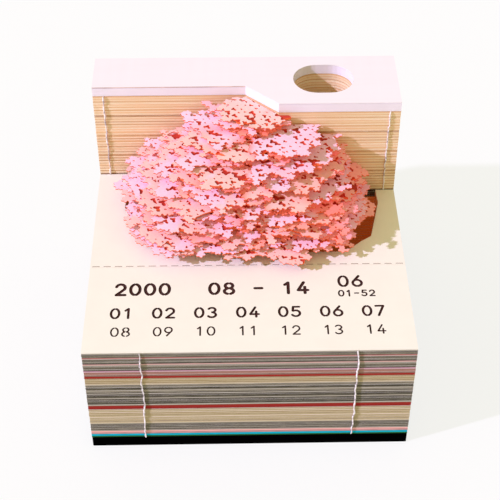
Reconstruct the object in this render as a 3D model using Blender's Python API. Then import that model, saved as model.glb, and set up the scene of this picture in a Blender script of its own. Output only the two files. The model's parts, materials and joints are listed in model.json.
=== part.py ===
"""Weekly tear-off planner pad with a blossom tree carved out of its paper.

A square block of paper. Weekly sheets are stacked in front of a taller bound spine,
which has a hard cover and a pen slot. The sheets have a well cut through them, and in
the well stands a paper tree whose blossom spreads in layers above the current sheet.

Units are metres, +Z is up and the front of the pad faces -Y. The origin is the middle
of the base board's underside.
"""

import math

import bpy

# Block
SIDE = 0.0900
HALF = SIDE / 2
BASE_TOP = 0.0040
PAGE_LEVEL = 0.0394
SPINE_TOP = 0.0688
COVER_TOP = 0.0719
SHEET_THICKNESS = 0.0003
PLY_GAP = 0.0001
SEAT_GAP = 0.0003

# Front of the spine, seen from above: recessed on the left, full depth on the right
SPINE_LEFT_Y = 0.0301
SPINE_RIGHT_Y = 0.0213
STEP_START_X = 0.0000
STEP_END_X = 0.0095
SPINE_BLOCKS = 4

# Pen slot through the cover and the spine
PEN_X = 0.0230
PEN_Y = 0.0335
PEN_LENGTH = 0.0178
PEN_WIDTH = 0.0141
PEN_ARC_STEPS = 8

# Well through the sheets, from the left arm round the front to the right arm
WELL_POINTS = (
    (-0.0365, 0.0140),
    (-0.0310, 0.0000),
    (-0.0250, -0.0065),
    (0.0285, -0.0065),
    (0.0332, -0.0022),
    (0.0363, 0.0000),
    (0.0397, 0.0150),
)
WELL_LEFT_X = -0.0360
WELL_RIGHT_X = 0.0394

# Perforation between the date strip and the rest of the sheet
PERFORATION_Y = -0.0117
WEB_DEPTH = 0.0006
CUT_COUNT = 28
CUT_LENGTH = 0.0021
CUT_WIDTH = 0.0002

# Glue beads that hold the sheets' edges until they are torn
BEAD_RADIUS = 0.00034
BEAD_WOBBLE = 0.00022
BEAD_POINTS = 10
FRONT_BEADS = (("front_glue_bead_left", -0.0295), ("front_glue_bead_right", 0.0291))
SPINE_BEADS = (
    ("spine_glue_bead_left", -0.0419, SPINE_LEFT_Y),
    ("spine_glue_bead_right", 0.0418, SPINE_RIGHT_Y),
)

# Blossom: a dome of paper layers against the spine
CROWN_LAYERS = 22
CROWN_BASE = 0.0423
CROWN_PITCH = 0.0012
CROWN_SHEET = 0.00095
CROWN_CLEARANCE = 0.0006
CROWN_X = -0.0015
CROWN_LEAN_X = 0.0050
CROWN_Y = 0.0200
DOME_FOOT = 0.0420
DOME_HEIGHT = 0.0270
TOP_RISE = 0.98
SWELL_POWER = 1.7
SLACK_LEAST = 0.35
REACH_LEFT = 0.0358
REACH_RIGHT = 0.0362
REACH_FRONT = 0.0325
REACH_BACK_FOOT = 0.0205
REACH_BACK_TOP = 0.0110
CAP_SPREAD = 0.0050
SQUARE_TOP = 2.0
SQUARE_GAIN = 2.4

# Shelves that climb round the dome: layers in a shelf, how many of them the fall from
# its edge takes, the set-back of each layer, and the climb in layers as
# (waves in a turn, size, turn)
SHELF_LAYERS = 3
SHELF_FALL = 2.4
SHELF_SET_BACK = 0.0017
CLIMB = ((2, 1.1, 3.14), (5, 0.8, 1.57))

# Lobes of a layer's rim: (waves in a turn, size, turn from one layer to the next)
LOBES = ((3, 1.0, 0.57), (5, 0.8, 2.9), (8, 0.8, 4.1), (13, 0.7, 5.3), (21, 0.5, 2.3))
LOBE_DEPTH = 0.0016
LOBE_LIMIT = 0.0030

# Sprays that stand out of the dome and bays cut into it: layer, degrees, reach, width
SPRAYS = (
    (1, -154, -0.0035, 0.12),
    (1, -106, -0.0050, 0.12),
    (1, -64, 0.0062, 0.07),
    (1, -45, 0.0055, 0.06),
    (2, -175, 0.0030, 0.12),
    (7, -3, 0.0040, 0.12),
    (19, 160, 0.0040, 0.12),
    (21, 152, 0.0070, 0.14),
)

# Teeth of the rim, and gaps between the flowers behind it
TOOTH_PITCH = 0.0032
TOOTH_DEPTH = 0.0010
TOOTH_UNEVENNESS = 0.25
FEWEST_TEETH = 8
HOLES_IN_LAYER = 9
HOLE_SPAN = (-0.94 * math.pi, -0.06 * math.pi)
HOLE_SCATTER = 0.3
HOLE_RADIUS = 0.0012
HOLE_INSET = 0.0034
HOLE_TIPS = 3
SMALLEST_HOLED_REACH = 0.0120

# Tree in the well, bottom to top: name, top, half width, half depth, lobes, lobe depth
TRUNK_X = -0.0015
TRUNK_Y = 0.0085
TRUNK = (
    ("tree_roots", 0.0090, 0.0130, 0.0090, 6, 0.30),
    ("trunk_lower", 0.0180, 0.0075, 0.0062, 5, 0.14),
    ("trunk_upper", 0.0270, 0.0065, 0.0055, 5, 0.14),
    ("branch_fork", 0.0340, 0.0120, 0.0075, 5, 0.40),
    ("branch_spread", 0.0420, 0.0200, 0.0095, 7, 0.38),
)
TRUNK_POINTS_PER_LOBE = 6

# Colours
BLACK_CARD = (0.010, 0.010, 0.011)
GREY_EDGE = (0.150, 0.140, 0.105)
CREAM_EDGE = (0.450, 0.360, 0.195)
PAGE_WHITE = (0.940, 0.890, 0.820)
COVER_WHITE = (0.920, 0.870, 0.930)
SCORCHED_EDGE = (0.860, 0.600, 0.370)
GLUE_WHITE = (0.900, 0.860, 0.850)
BARK_BROWN = (0.130, 0.042, 0.015)
LILAC = (0.950, 0.560, 0.760)
PEACH = (0.950, 0.580, 0.530)
LAYER_COLOURS = "PLPLPLPLPLPLPLPLLPLPLP"

# Sheets under the current one, bottom to top: name, top, colour
STACK = (
    ("green_divider", 0.0045, (0.020, 0.120, 0.030)),
    ("cyan_divider", 0.0054, (0.010, 0.430, 0.500)),
    ("pink_divider", 0.0066, (0.700, 0.300, 0.290)),
    ("grey_pages_lower", 0.0100, GREY_EDGE),
    ("cream_pages_lower", 0.0161, CREAM_EDGE),
    ("red_divider_lower", 0.0176, (0.340, 0.028, 0.020)),
    ("grey_pages_middle", 0.0263, GREY_EDGE),
    ("cream_pages_upper", 0.0290, CREAM_EDGE),
    ("red_divider_upper", 0.0297, (0.340, 0.028, 0.020)),
    ("blush_pages", 0.0316, (0.380, 0.200, 0.160)),
    ("lilac_divider", 0.0320, (0.520, 0.220, 0.360)),
    ("grey_pages_third", 0.0343, GREY_EDGE),
    ("pale_pink_divider", 0.0347, (0.640, 0.350, 0.330)),
    ("grey_pages_second", 0.0368, GREY_EDGE),
    ("rose_divider", 0.0372, (0.430, 0.130, 0.120)),
    ("grey_pages_first", 0.0390, GREY_EDGE),
)

for old in list(bpy.data.objects):
    bpy.data.objects.remove(old, do_unlink=True)

pad = bpy.data.collections.new("weekly_planner_pad")
bpy.context.scene.collection.children.link(pad)


def make_material(name, colour, roughness):
    """A plain matt paper material."""
    material = bpy.data.materials.new(name)
    material.use_nodes = True
    shader = material.node_tree.nodes["Principled BSDF"]
    shader.inputs["Base Color"].default_value = (*colour, 1.0)
    shader.inputs["Roughness"].default_value = roughness
    shader.inputs["Metallic"].default_value = 0.0
    return material


def place(name, data, colour, location, roughness=0.85):
    """Link data to the pad as a named piece with its own material."""
    data.materials.append(make_material(name + "_paper", colour, roughness))
    piece = bpy.data.objects.new(name, data)
    piece.location = location
    pad.objects.link(piece)
    return piece


def add_spline(curve, points, cyclic):
    """Add a straight-sided spline through the points."""
    spline = curve.splines.new("POLY")
    spline.points.add(len(points) - 1)
    for slot, point in zip(spline.points, points):
        slot.co = (*point, 0.0, 1.0) if len(point) == 2 else (*point, 1.0)
    spline.use_cyclic_u = cyclic


def flat_piece(name, outlines, bottom, top, colour, origin=(0.0, 0.0)):
    """A flat piece cut to its outlines: the first is the rim, the others are holes."""
    curve = bpy.data.curves.new(name, "CURVE")
    curve.dimensions = "2D"
    curve.fill_mode = "BOTH"
    curve.extrude = (top - bottom) / 2
    for outline in outlines:
        add_spline(curve, [(x - origin[0], y - origin[1]) for x, y in outline], True)
    return place(name, curve, colour, (*origin, (bottom + top) / 2))


def rectangle(left, front, right, back):
    """The four corners of an upright rectangle."""
    return [(left, front), (right, front), (right, back), (left, back)]


def spine_outline(front_gap=0.0):
    """The spine from above, with its front face moved forward by front_gap."""
    slope = math.atan2(SPINE_LEFT_Y - SPINE_RIGHT_Y, STEP_END_X - STEP_START_X)
    shift = front_gap * math.tan(slope / 2)
    return [
        (HALF, SPINE_RIGHT_Y - front_gap),
        (STEP_END_X - shift, SPINE_RIGHT_Y - front_gap),
        (STEP_START_X - shift, SPINE_LEFT_Y - front_gap),
        (-HALF, SPINE_LEFT_Y - front_gap),
        (-HALF, HALF),
        (HALF, HALF),
    ]


def pen_slot_outline():
    """A slot with round ends, wider than it is deep."""
    radius = PEN_WIDTH / 2
    straight = (PEN_LENGTH - PEN_WIDTH) / 2
    points = []
    for side, start in ((1, -math.pi / 2), (-1, math.pi / 2)):
        for step in range(PEN_ARC_STEPS + 1):
            angle = start + math.pi * step / PEN_ARC_STEPS
            x = PEN_X + side * straight + radius * math.cos(angle)
            points.append((x, PEN_Y + radius * math.sin(angle)))
    return points


def sheet_outline(front):
    """A sheet from its front edge to the spine, with the well open at the back."""
    left_back = SPINE_LEFT_Y - SEAT_GAP
    right_back = SPINE_RIGHT_Y - SEAT_GAP
    rim = [(-HALF, front), (HALF, front), (HALF, right_back), (WELL_RIGHT_X, right_back)]
    rim += reversed(WELL_POINTS)
    return rim + [(WELL_LEFT_X, left_back), (-HALF, left_back)]


def build_block():
    """The base board and the stack of sheets on it."""
    flat_piece("base_board", [rectangle(-HALF, -HALF, HALF, HALF)], 0.0, BASE_TOP, BLACK_CARD)
    bottom = BASE_TOP
    for name, top, colour in STACK:
        flat_piece(name, [sheet_outline(-HALF)], bottom + PLY_GAP, top, colour)
        bottom = top


def build_spine():
    """The bound stubs of the sheets, the cover board and its facing sheet."""
    outlines = [spine_outline(), pen_slot_outline()]
    levels = [BASE_TOP, PAGE_LEVEL]
    for block in range(1, SPINE_BLOCKS + 1):
        levels.append(PAGE_LEVEL + (SPINE_TOP - PAGE_LEVEL) * block / SPINE_BLOCKS)
    names = ["spine_stubs_lower"] + [f"spine_stubs_{block}" for block in range(1, SPINE_BLOCKS + 1)]
    for name, bottom, top in zip(names, levels, levels[1:]):
        flat_piece(name, outlines, bottom + PLY_GAP, top, SCORCHED_EDGE)
    facing_bottom = COVER_TOP - SHEET_THICKNESS
    flat_piece("cover_board", outlines, SPINE_TOP + PLY_GAP, facing_bottom - PLY_GAP, COVER_WHITE)
    flat_piece("cover_sheet", outlines, facing_bottom, COVER_TOP, COVER_WHITE)


def perforation_cuts(front, back):
    """The row of short cuts that weakens the sheet along the perforation."""
    middle = (front + back) / 2
    pitch = SIDE / CUT_COUNT
    cuts = []
    for index in range(CUT_COUNT):
        left = -HALF + pitch * index + (pitch - CUT_LENGTH) / 2
        cuts.append(rectangle(left, middle - CUT_WIDTH / 2, left + CUT_LENGTH, middle + CUT_WIDTH / 2))
    return cuts


def add_pivot(name, location, parent=None):
    """An empty that carries a moving piece and stands on its joint."""
    pivot = bpy.data.objects.new(name, None)
    pivot.location = location
    pivot.parent = parent
    pad.objects.link(pivot)
    return pivot


def carry(piece, pivot, pivot_place):
    """Parent a piece to a pivot and keep it where it is."""
    piece.parent = pivot
    piece.location = [here - there for here, there in zip(piece.location, pivot_place)]


def build_current_sheet():
    """The current sheet: its part round the tree, the perforated web and the date strip."""
    bottom = PAGE_LEVEL - SHEET_THICKNESS
    middle = PAGE_LEVEL - SHEET_THICKNESS / 2
    web_back = PERFORATION_Y + WEB_DEPTH / 2
    web_front = PERFORATION_Y - WEB_DEPTH / 2
    strip_back = web_front - PLY_GAP
    page = flat_piece("week_page", [sheet_outline(web_back + PLY_GAP)], bottom, PAGE_LEVEL, PAGE_WHITE)
    web_outlines = [rectangle(-HALF, web_front, HALF, web_back)]
    web_outlines += perforation_cuts(web_front, web_back)
    web = flat_piece("perforation_web", web_outlines, bottom, PAGE_LEVEL, PAGE_WHITE)
    strip_outline = rectangle(-HALF, -HALF, HALF, strip_back)
    strip = flat_piece("date_strip", [strip_outline], bottom, PAGE_LEVEL, PAGE_WHITE, (0.0, strip_back))
    slide_place = (0.0, PERFORATION_Y, middle)
    fold_place = (0.0, strip_back, middle)
    slide = add_pivot("week_page_slide", slide_place)
    fold = add_pivot("date_strip_hinge", (0.0, strip_back - PERFORATION_Y, 0.0), slide)
    carry(page, slide, slide_place)
    carry(web, slide, slide_place)
    carry(strip, fold, fold_place)


def glue_bead(name, x, face_y, bottom, top, phase):
    """A thin uneven line of glue run up a face of the block."""
    curve = bpy.data.curves.new(name, "CURVE")
    curve.dimensions = "3D"
    curve.bevel_depth = BEAD_RADIUS
    curve.bevel_resolution = 1
    curve.use_fill_caps = True
    y = face_y - BEAD_RADIUS - PLY_GAP
    points = []
    for index in range(BEAD_POINTS):
        part = index / (BEAD_POINTS - 1)
        swing = BEAD_WOBBLE * math.sin(2.6 * index + phase)
        points.append((x + swing, y, bottom + (top - bottom) * part))
    add_spline(curve, points, False)
    place(name, curve, GLUE_WHITE, (0.0, 0.0, 0.0), 0.45)


def build_beads():
    """Two beads on the front of the stack and two on the spine's front."""
    stack_top = STACK[-1][1]
    for phase, (name, x) in enumerate(FRONT_BEADS):
        glue_bead(name, x, -HALF, BASE_TOP + SEAT_GAP, stack_top, phase)
    for phase, (name, x, face_y) in enumerate(SPINE_BEADS):
        glue_bead(name, x, face_y, PAGE_LEVEL + SEAT_GAP, SPINE_TOP, phase + 2)


def build_tree():
    """The roots, trunk and branches, each a thick pad of sheets cut to one outline."""
    bottom = BASE_TOP
    for turn, (name, top, half_width, half_depth, lobes, depth) in enumerate(TRUNK):
        count = lobes * TRUNK_POINTS_PER_LOBE
        outline = []
        for index in range(count):
            angle = 2 * math.pi * index / count
            swell = 1 + depth * math.cos(lobes * angle + turn)
            x = TRUNK_X + half_width * swell * math.cos(angle)
            outline.append((x, TRUNK_Y + half_depth * swell * math.sin(angle)))
        flat_piece(name, [outline], bottom + SEAT_GAP, top, BARK_BROWN)
        bottom = top


class BlossomLayer:
    """One layer of the crown, as a toothed slice of the dome in front of the spine."""

    def __init__(self, number):
        self.number = number
        self.bottom = CROWN_BASE + CROWN_PITCH * (number - 1)
        self.top = self.bottom + CROWN_SHEET
        self.rise = (self.top - DOME_FOOT) / DOME_HEIGHT
        self.x = CROWN_X + CROWN_LEAN_X * self.rise
        self.back = REACH_BACK_FOOT + (REACH_BACK_TOP - REACH_BACK_FOOT) * self.rise

    def place(self, angle):
        """How many layers lie between this one and the top of its shelf at an angle."""
        climb = sum(size * math.sin(waves * angle + turn) for waves, size, turn in CLIMB)
        level = (CROWN_LAYERS - self.number + climb * math.sqrt(1 - self.rise)) % SHELF_LAYERS
        slope = min(level / SHELF_FALL, (SHELF_LAYERS - level) / (SHELF_LAYERS - SHELF_FALL))
        return SHELF_FALL * slope * min(1.0, (self.number - 1) / SHELF_LAYERS)

    def dome(self, angle, rise):
        """Distance from the middle to the plain dome at an angle and a height."""
        swell = math.sqrt(1 - rise ** SWELL_POWER)
        square = SQUARE_TOP + SQUARE_GAIN * (1 - rise) ** 2
        side = REACH_RIGHT if math.cos(angle) > 0 else REACH_LEFT
        across = side * swell + CAP_SPREAD * rise ** 4
        along = self.back if math.sin(angle) > 0 else REACH_FRONT * swell
        spread = abs(math.cos(angle) / across) ** square + abs(math.sin(angle) / along) ** square
        return spread ** (-1 / square)

    def slack(self, rise):
        """How freely the rim swings, least at the top."""
        return SLACK_LEAST + (1 - SLACK_LEAST) * math.sqrt(1 - rise ** SWELL_POWER)

    def reach(self, angle):
        """Distance from the middle to the rim at an angle, without its teeth."""
        place = self.place(angle)
        rise = min(self.rise + place * CROWN_PITCH / DOME_HEIGHT, TOP_RISE)
        wave = sum(size * math.sin(waves * angle + turn * self.number) for waves, size, turn in LOBES)
        lobe = LOBE_LIMIT * math.tanh(LOBE_DEPTH / LOBE_LIMIT * wave)
        reach = self.dome(angle, rise) + (lobe - SHELF_SET_BACK * place) * self.slack(rise)
        for layer, middle, length, width in SPRAYS:
            if layer == self.number:
                away = math.remainder(angle - math.radians(middle), 2 * math.pi)
                reach += length * math.exp(-(away / width) ** 2)
        return reach

    def point(self, angle, reach):
        """The point at an angle and a distance from the middle."""
        return self.x + reach * math.cos(angle), CROWN_Y + reach * math.sin(angle)

    def wall_angle(self, wall_y, side):
        """The angle above the x axis at which the plain dome meets a wall behind it."""
        low, high = 0.0, 0.45 * math.pi
        for _ in range(30):
            middle = (low + high) / 2
            angle = middle if side > 0 else math.pi - middle
            if self.point(angle, self.dome(angle, self.rise))[1] < wall_y:
                low = middle
            else:
                high = middle
        return high

    def rim(self):
        """Toothed front from the right wall round to the left, closed along the spine."""
        right, left = spine_outline(CROWN_CLEARANCE)[1:3]
        start = self.wall_angle(right[1], 1)
        end = -math.pi - self.wall_angle(left[1], -1)
        length = (start - end) * self.dome(-0.75 * math.pi, self.rise)
        teeth = max(FEWEST_TEETH, round(length / TOOTH_PITCH))
        points = []
        for index in range(2 * teeth + 1):
            angle = start + (end - start) * index / (2 * teeth)
            wall = (right if math.cos(angle) > 0 else left)[1]
            if index in (0, 2 * teeth):
                points.append(self.point(angle, (wall - CROWN_Y) / math.sin(angle)))
                continue
            swing = 1 + TOOTH_UNEVENNESS * (math.sin(2.3 * index + 1.7 * self.number) - 1)
            tooth = TOOTH_DEPTH * swing * self.slack(self.rise)
            reach = self.reach(angle) + (tooth if index % 2 else -tooth)
            if math.sin(angle) > 0:
                reach = min(reach, (wall - TOOTH_DEPTH - CROWN_Y) / math.sin(angle))
            points.append(self.point(angle, reach))
        points[0] = (max(points[0][0], right[0] + CROWN_CLEARANCE), right[1])
        points[-1] = (min(points[-1][0], left[0] - CROWN_CLEARANCE), left[1])
        return points + [left, right]

    def holes(self):
        """Small star-shaped gaps between the flowers, where the layer tops its shelf."""
        outlines = []
        for index in range(HOLES_IN_LAYER):
            part = (index + 0.5 + HOLE_SCATTER * math.sin(2.1 * self.number + index)) / HOLES_IN_LAYER
            middle = HOLE_SPAN[0] + (HOLE_SPAN[1] - HOLE_SPAN[0]) * part
            room = HOLE_INSET / self.dome(middle, self.rise)
            reach = min(self.reach(middle + side * room) for side in (-1.0, -0.5, 0.0, 0.5, 1.0))
            if self.place(middle) > 1 or reach < SMALLEST_HOLED_REACH:
                continue
            x, y = self.point(middle, reach - HOLE_INSET)
            star = []
            for tip in range(2 * HOLE_TIPS):
                angle = math.pi * tip / HOLE_TIPS + self.number
                radius = HOLE_RADIUS * (1.0 if tip % 2 else 0.55)
                star.append((x + radius * math.cos(angle), y + radius * math.sin(angle)))
            outlines.append(star)
        return outlines


def build_blossom():
    """The crown, from the widest layer over the page to the top one by the cover."""
    colours = {"P": PEACH, "L": LILAC}
    for number in range(1, CROWN_LAYERS + 1):
        layer = BlossomLayer(number)
        outlines = [layer.rim()] + layer.holes()
        colour = colours[LAYER_COLOURS[number - 1]]
        flat_piece(f"blossom_layer_{number:02d}", outlines, layer.bottom, layer.top, colour)


build_block()
build_spine()
build_current_sheet()
build_beads()
build_tree()
build_blossom()
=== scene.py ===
"""Looks of the weekly planner pad: thin sheets, lace blossom, cut numerals and glue lines."""
import json
import math
import random

import bpy
import numpy as np
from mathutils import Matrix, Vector
from mathutils.geometry import delaunay_2d_cdt


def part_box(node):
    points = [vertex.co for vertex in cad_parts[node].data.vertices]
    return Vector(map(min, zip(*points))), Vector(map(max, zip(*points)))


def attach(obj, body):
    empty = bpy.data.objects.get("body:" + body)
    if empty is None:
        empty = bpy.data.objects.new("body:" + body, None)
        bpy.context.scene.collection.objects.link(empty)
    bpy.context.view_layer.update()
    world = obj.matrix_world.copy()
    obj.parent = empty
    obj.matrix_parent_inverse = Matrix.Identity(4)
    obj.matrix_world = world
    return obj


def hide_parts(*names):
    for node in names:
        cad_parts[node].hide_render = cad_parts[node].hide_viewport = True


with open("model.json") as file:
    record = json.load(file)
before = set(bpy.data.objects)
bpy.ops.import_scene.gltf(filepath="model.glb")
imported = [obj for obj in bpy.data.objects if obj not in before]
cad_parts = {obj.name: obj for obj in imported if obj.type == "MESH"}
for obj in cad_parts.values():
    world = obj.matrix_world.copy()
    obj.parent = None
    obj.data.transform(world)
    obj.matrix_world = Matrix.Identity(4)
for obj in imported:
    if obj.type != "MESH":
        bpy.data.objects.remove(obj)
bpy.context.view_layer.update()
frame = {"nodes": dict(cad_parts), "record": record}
scene = bpy.context.scene

# Photograph's camera, solved from the block's corners
CAMERA_PLACE = Vector((-0.00387, -0.27348, 0.28809))
CAMERA_AZIMUTH = math.radians(0.98)
CAMERA_DROP = math.radians(42.85)
CAMERA_LENS = 90.92
CAMERA_SENSOR = 36.0
CAMERA_NEAR = 0.01

# Light and floor
SUN_STRENGTH = 3.72
SUN_COLOUR = (0.74, 0.66, 1.0)
SUN_SPREAD = math.radians(1.5)
SUN_DIRECTION = Vector((1.5, 0.5, -1.0))
SKY_COLOUR = (0.98, 0.93, 0.54)
SKY_STRENGTH = 0.62
FLOOR_SIZE = 6.0
FLOOR_WHITE = (0.90, 0.90, 0.90)
FLOOR_SEEN = 0.80

# Block, read from the frame
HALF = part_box("base_board")[1][0]
BASE_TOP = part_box("base_board")[1][2]
PAGE_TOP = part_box("week_page")[1][2]
PAGE_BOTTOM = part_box("week_page")[0][2]
STRIP_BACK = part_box("date_strip")[1][1]
PERFORATION_Y = (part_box("perforation_web")[0][1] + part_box("perforation_web")[1][1]) / 2

# Front of the spine from above, and the pen slot, as the solids have them
SPINE_LEFT_Y = 0.0301
SPINE_RIGHT_Y = 0.0213
STEP_START_X = 0.0000
STEP_END_X = 0.0095
PEN_X = 0.0230
PEN_Y = 0.0335
PEN_LENGTH = 0.0178
PEN_WIDTH = 0.0141
PEN_ARC_STEPS = 16

# Well through the sheets
WELL_POINTS = (
    (-0.0365, 0.0140),
    (-0.0310, 0.0000),
    (-0.0250, -0.0065),
    (0.0285, -0.0065),
    (0.0332, -0.0022),
    (0.0363, 0.0000),
    (0.0397, 0.0150),
)
WELL_LEFT_X = -0.0360
WELL_RIGHT_X = 0.0394
SEAT_GAP = 0.0003

# One sheet of paper, and how the sheets of a bundle differ
SHEET = 0.00033
SHEET_AIR = 0.00002
SHEET_SHIFT = 0.00005
PLAIN_TINT = 0.5
DARK_TINT = 0.25
SPINE_RHYTHM = 3
# Height of the near-black painted shadow along the front of the spine's lowest bundle
PAINTED_SHADOW_BAND = 0.0030
BOARD_WEAR = 0.00025

# Finishes of a bundle, the cover, the page and the strip, in the order of their materials
FACE, GUILLOTINED, SCORCHED, DARKENED, PAINTED_SHADOW_FINISH = range(5)
COVER_FACE, COVER_SCORCHED = range(2)
PAGE_FACE, PAGE_SCORCHED, PAGE_CUT = range(3)
STRIP_FACE, STRIP_NUMERAL = range(2)

# Starts of the random draws, the crown's counted on from layer to layer
BLOCK_SEED = 7
SPINE_SEED = 11
BEAD_SEED = 5
CROWN_SEED = 1000

# Farther than any place on the part
FAR = 1.0

# Blossom dome: its middle and reach, and how its outline swells and squares towards the foot
CROWN_LAYERS = 22
CROWN_PITCH = 0.0012
DOME_FOOT = 0.0420
DOME_HEIGHT = 0.0270
CROWN_X = -0.0015
CROWN_LEAN_X = 0.0050
CROWN_Y = 0.0200
REACH_LEFT = 0.0358
REACH_RIGHT = 0.0362
REACH_FRONT = 0.0325
REACH_BACK_FOOT = 0.0205
REACH_BACK_TOP = 0.0110
CAP_SPREAD = 0.0050
CAP_POWER = 4
SQUARE_TOP = 2.0
SQUARE_GAIN = 2.4
SQUARE_POWER = 2
TOP_RISE = 0.98
SWELL_POWER = 1.7
SLACK_LEAST = 0.35
CROWN_CLEARANCE = 0.0007

# Shelves that climb round the dome: layers in a shelf, set-back of each layer under
# its top one, and the climb as (waves in a turn, layers, turn)
SHELF_LAYERS = 3
SHELF_FALL = 2.4
SHELF_SET_BACK = 0.0017
CLIMB = ((2, 1.1, 3.14), (5, 0.8, 1.57))

# Lobes of the rim: (waves in a turn, size, turn from one layer to the next)
LOBES = ((3, 1.0, 0.57), (5, 0.8, 2.9), (8, 0.8, 4.1), (13, 0.7, 5.3), (21, 0.5, 2.3))
LOBE_DEPTH = 0.0016
LOBE_LIMIT = 0.0030

# Sprays that stand out of the dome and bays cut into it: layer, degrees, reach, width
SPRAYS = (
    (1, -154, -0.0035, 0.12),
    (1, -106, -0.0050, 0.12),
    (1, -64, 0.0062, 0.07),
    (1, -45, 0.0055, 0.06),
    (2, -175, 0.0030, 0.12),
    (3, -46, 0.0070, 0.08),
    (6, -46, 0.0065, 0.08),
    (7, -3, 0.0040, 0.12),
    (8, -41, 0.0050, 0.09),
    (19, 160, 0.0040, 0.12),
    (21, 152, 0.0070, 0.14),
)

# Lace of flowers along each layer's rim
GRID_LEFT = -0.0455
GRID_FRONT = -0.0260
GRID_BACK = 0.0315
LACE_STEP = 0.00021
LACE_SHEET = 0.00030
RIM_WIDTH = 0.0018
FLOWER_PITCH = 0.0019
FLOWER_CHANCE = 0.86
FLOWER_LEAST = 0.00100
FLOWER_MOST = 0.00175
FLOWER_INSET = 0.05
PETALS = 5
PETAL_ROOT = 0.52
PETAL_LENGTH = 0.48
PETAL_POWER = 1.1
NOTCH_START = 0.8
NOTCH_DEPTH = 0.6
DEPTH_SOUGHT = 0.0050
LACE_SLACK = 0.00003

# Honeycomb that flowers and cuts are scattered on: row distance in pitches, and looseness
ROW_PITCH = 0.87
LOOSENESS = 0.17

# Cuts between the flowers, more and larger where the two crowding waves agree
HOLE_PITCH = 0.0022
HOLE_CHANCE = 0.88
HOLE_CROWDING = 0.14
HOLE_GROWTH = 0.3
HOLE_LEAST = 0.00026
HOLE_MOST = 0.00108
HOLE_POWER = 2.2
HOLE_INSET = 0.0008
HOLE_REACH = 2.2
HOLE_CORNERS = 0.35
HOLE_STRETCH = 0.30
STRETCH_TURN = 0.4
CROWD_WAVE_X = 420
CROWD_WAVE_Y = 510
CROWD_TURN = 1.3
SMALLEST_HOLE = 0.10e-6
SMALLEST_ISLAND = 1.0e-6

# Painted red shade in the gaps under the shelves, for shade lit by bounce between the pinks:
# layers under the top where it starts and is full, its least share on the lit left, and its most
GAP_START = 0.5
GAP_END = 1.8
GAP_LEAST = 0.2
GAP_MOST = 0.75

# Pad under each layer's lace: its red wall is painted shade lit by bounce between the pinks,
# its top painted shade, and it sits further in on the lit left
CORE_INSET = 0.0014
CORE_INSET_LEFT = 0.0036
CORE_MARGIN = 0.0005
CORE_STRIDE = 3

# Colour of each layer, from the lowest up: peach or lilac
LAYER_COLOURS = "PLPLPLPLPLPLPLPLLPLPLP"

# Finishes of a layer, in the order of its materials: petal, scorched rim with a painted
# glow, pad wall in painted red shade with a painted glow, pad top in painted shade
PETAL, PETAL_CUT, CORE_WALL, CORE_TOP = range(4)

# Filling of outlines, in millimetres
FILL_SCALE = 1000
FILL_INSIDE = 2
FILL_SLACK = 1e-7
SMALLEST_SPAN = 1e-12


def contour_loops(field, left, front, step):
    """Closed outlines of the positive part of a grid, with the inside on their left."""
    above = field > 0
    code = (
        above[:-1, :-1].astype(int)
        + 2 * above[:-1, 1:]
        + 4 * above[1:, 1:]
        + 8 * above[1:, :-1]
    )
    # Edges by which an outline enters and leaves a cell, for each case of its corners
    turns = {
        1: "03", 2: "10", 3: "13", 4: "21", 5: "0321", 6: "20", 7: "23",
        8: "32", 9: "02", 10: "1032", 11: "12", 12: "31", 13: "01", 14: "30",
    }
    follow = {}
    for row, column in np.argwhere((code > 0) & (code < 15)):
        edges = (("h", row, column), ("v", row, column + 1), ("h", row + 1, column), ("v", row, column))
        path = turns[int(code[row, column])]
        for start, end in zip(path[::2], path[1::2]):
            follow[edges[int(start)]] = edges[int(end)]

    def crossing(edge):
        kind, row, column = edge
        other = (row, column + 1) if kind == "h" else (row + 1, column)
        here = field[row, column]
        part = here / (here - field[other])
        x = column + (part if kind == "h" else 0.0)
        y = row + (part if kind == "v" else 0.0)
        return left + x * step, front + y * step

    loops = []
    while follow:
        start, edge = follow.popitem()
        loop = [crossing(start)]
        while edge != start:
            loop.append(crossing(edge))
            edge = follow.pop(edge)
        loops.append(loop)
    return loops


def signed_area(loop):
    """Area inside a loop, positive when it runs anticlockwise."""
    ring = np.asarray(loop)
    ahead = np.roll(ring, -1, axis=0)
    return 0.5 * float(np.sum(ring[:, 0] * ahead[:, 1] - ahead[:, 0] * ring[:, 1]))


def thinned(loop, slack):
    """The loop without the points that lie on the line between their neighbours."""
    kept = list(loop)
    for offset in (0, 1):
        ring = np.asarray(kept)
        before = np.roll(ring, 1, axis=0)
        after = np.roll(ring, -1, axis=0)
        span = after - before
        length = np.maximum(np.hypot(span[:, 0], span[:, 1]), SMALLEST_SPAN)
        side = ring - before
        away = np.abs(span[:, 0] * side[:, 1] - span[:, 1] * side[:, 0]) / length
        drop = (away < slack) & (np.arange(len(ring)) % 2 == offset)
        kept = [point for point, gone in zip(kept, drop) if not gone]
    return kept


def holds(loop, point):
    """Whether a point lies inside a loop."""
    ring = np.asarray(loop)
    ahead = np.roll(ring, -1, axis=0)
    x, y = point
    crosses = (ring[:, 1] > y) != (ahead[:, 1] > y)
    rise = np.where(crosses, ahead[:, 1] - ring[:, 1], 1.0)
    at = ring[:, 0] + (y - ring[:, 1]) * (ahead[:, 0] - ring[:, 0]) / rise
    return bool(np.count_nonzero(crosses & (x < at)) % 2)


def pieces_in(loops, slack):
    """Outlines sorted into pieces: each a rim and the holes in it worth cutting."""
    rims = sorted((loop for loop in loops if signed_area(loop) > SMALLEST_ISLAND), key=signed_area)
    pieces = [[thinned(rim, slack)] for rim in rims]
    for hole in loops:
        if signed_area(hole) < -SMALLEST_HOLE:
            for rim, piece in zip(rims, pieces):
                if holds(rim, hole[0]):
                    piece.append(thinned(hole, slack))
                    break
    return pieces[::-1]


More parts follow.
